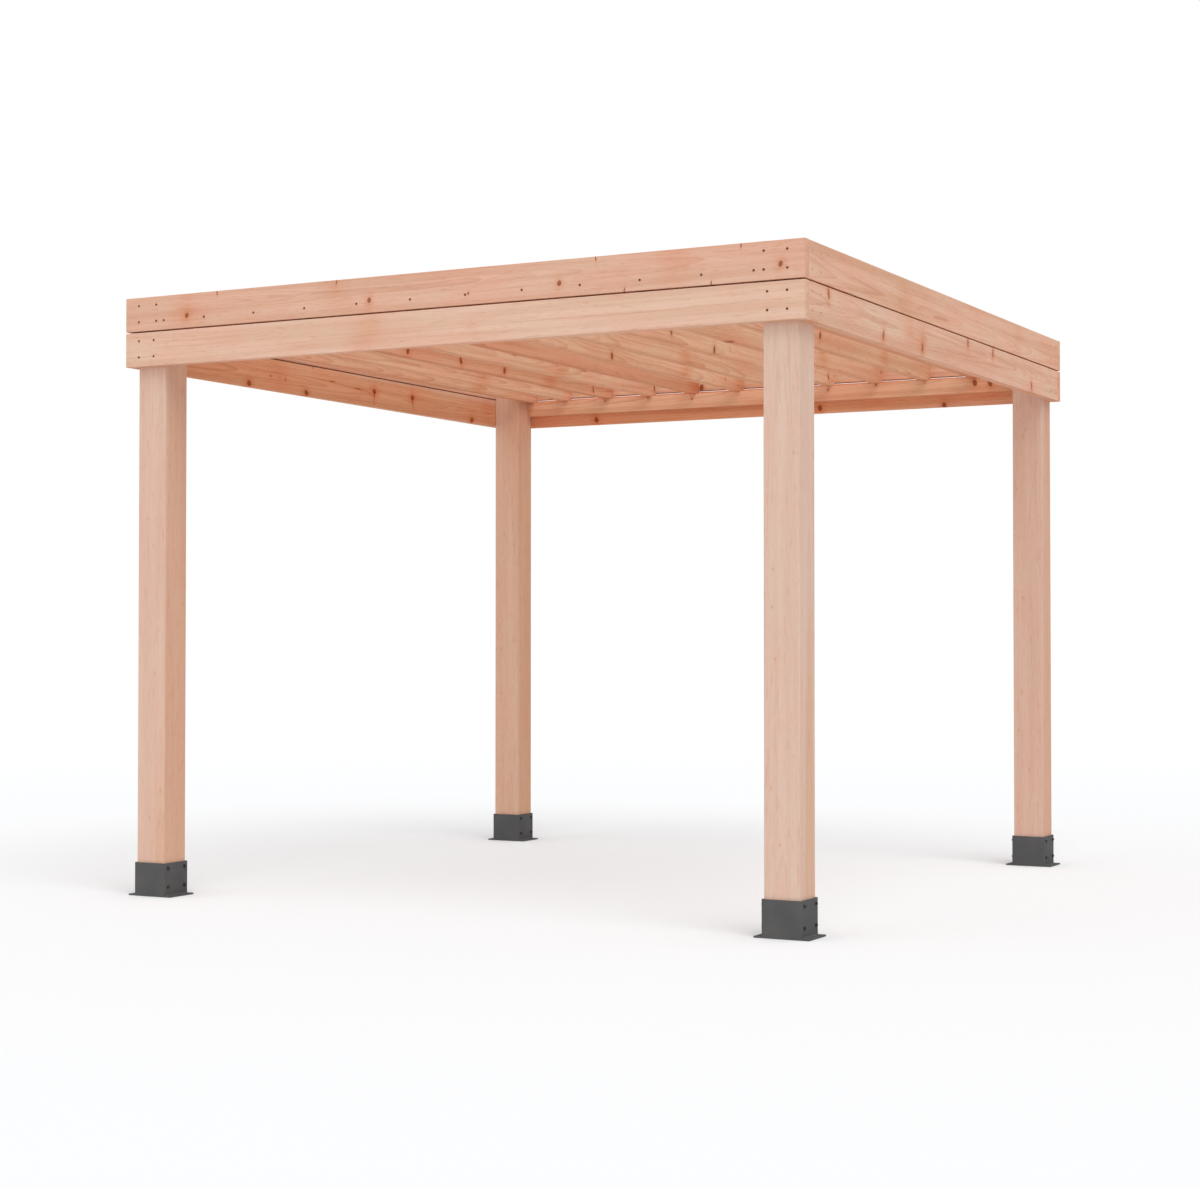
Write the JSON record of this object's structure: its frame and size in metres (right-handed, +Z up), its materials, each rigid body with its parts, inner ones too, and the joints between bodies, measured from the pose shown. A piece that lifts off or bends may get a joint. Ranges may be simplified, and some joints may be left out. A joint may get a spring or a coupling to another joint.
{
  "type": "wooden pergola",
  "caption": "Square free-standing timber pergola: posts in steel shoes, a two-row board rim and a flat roof of open rafters on ledgers.",
  "frame": {"origin": "centre of the footprint, on the ground under the shoes", "axes": "+X along the front from left to right, +Y from the front to the back along the rafters, +Z up"},
  "size_m": [3.048, 3.124, 2.476],
  "materials": {
    "timber": "planed, unpainted softwood with small knots",
    "coated_steel": "matte charcoal powder coat"
  },
  "bodies": {
    "root": {"post_front_left": "timber", "shoe_front_left": "coated_steel", "post_front_right": "timber", "shoe_front_right": "coated_steel", "post_back_left": "timber", "shoe_back_left": "coated_steel", "post_back_right": "timber", "shoe_back_right": "coated_steel", "front_board_lower": "timber", "back_board_lower": "timber", "left_board_lower": "timber", "right_board_lower": "timber", "front_board_upper": "timber", "back_board_upper": "timber", "left_board_upper": "timber", "right_board_upper": "timber", "front_ledger": "timber", "back_ledger": "timber", "rafter_01": "timber", "rafter_02": "timber", "rafter_03": "timber", "rafter_04": "timber", "rafter_05": "timber", "rafter_06": "timber", "rafter_07": "timber", "rafter_08": "timber", "rafter_09": "timber", "rafter_10": "timber", "rafter_11": "timber", "rafter_12": "timber"}
  },
  "joints": []
}
